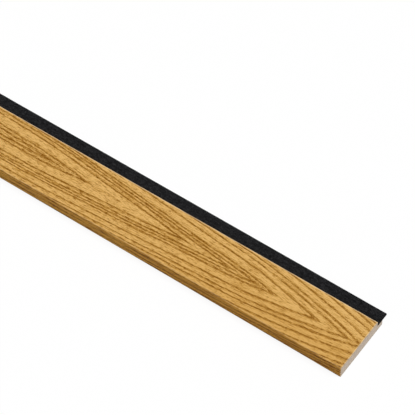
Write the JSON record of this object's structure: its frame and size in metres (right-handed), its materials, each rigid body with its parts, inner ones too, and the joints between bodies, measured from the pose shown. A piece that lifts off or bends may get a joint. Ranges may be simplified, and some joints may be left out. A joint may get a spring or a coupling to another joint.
{
  "type": "acoustic panel end trim",
  "caption": "Long flat oak-faced moulding that closes the end of a slatted acoustic wall, with a step along one edge that holds a thin black felt strip.",
  "frame": {"origin": "middle of the length and of the overall width, on the plane of the flat back", "axes": "+X along the length, +Y across the trim from the closed oak side towards the felt strip, +Z from the flat back to the oak face"},
  "size_m": [2.4, 0.1146, 0.021],
  "materials": {
    "raw_mdf": "matte",
    "oak": "matte",
    "black_felt": "matte"
  },
  "bodies": {
    "root": {"mdf_moulding": "raw_mdf", "oak_skin": "oak", "felt_strip": "black_felt"}
  },
  "joints": []
}
